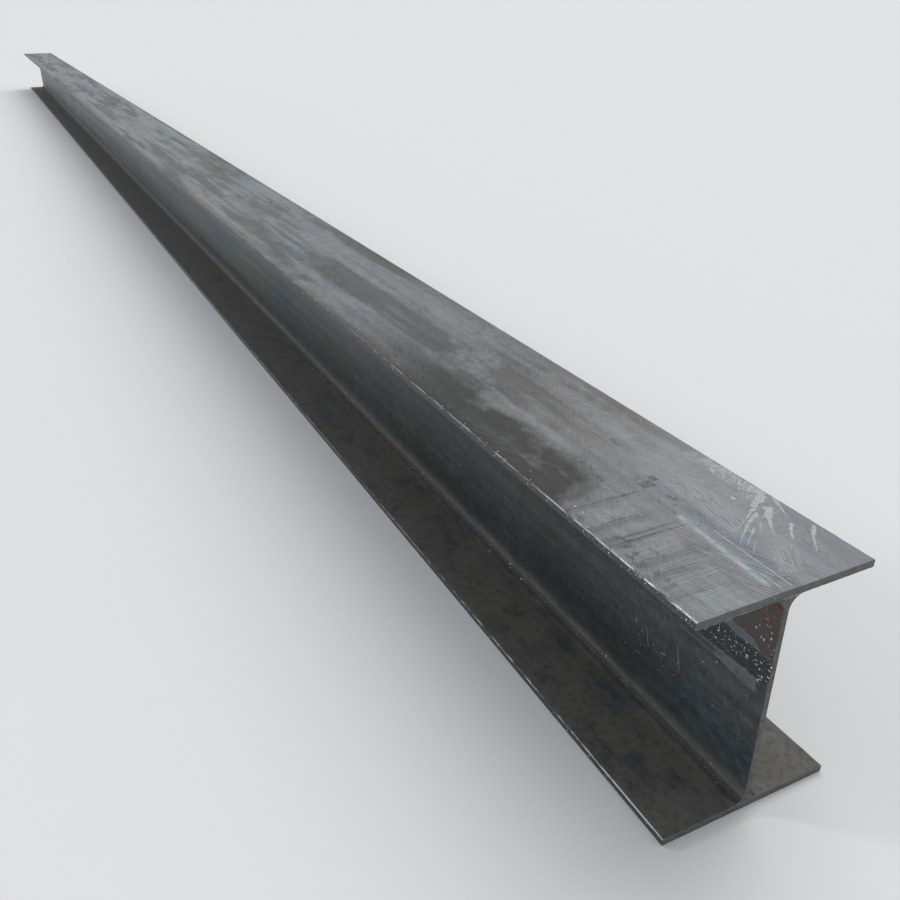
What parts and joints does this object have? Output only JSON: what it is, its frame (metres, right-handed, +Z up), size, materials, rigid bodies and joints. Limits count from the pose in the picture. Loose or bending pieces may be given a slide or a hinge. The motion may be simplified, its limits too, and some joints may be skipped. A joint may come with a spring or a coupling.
{
  "type": "steel i-beam",
  "caption": "Hot-rolled wide-flange steel I-beam: a straight stock length with parallel flanges, a thin web and rounded roots, for framing and supports.",
  "frame": {"origin": "middle of the underside of the bottom flange, at half length, so the beam rests on Z = 0", "axes": "+X along the beam, +Y across the flanges, +Z up through the web to the top flange"},
  "size_m": [12, 0.299, 0.383],
  "materials": {
    "mill_scale_steel": "hot-rolled mill scale, worn and damp, not painted"
  },
  "bodies": {
    "root": {"i_beam": "mill_scale_steel"}
  },
  "joints": []
}
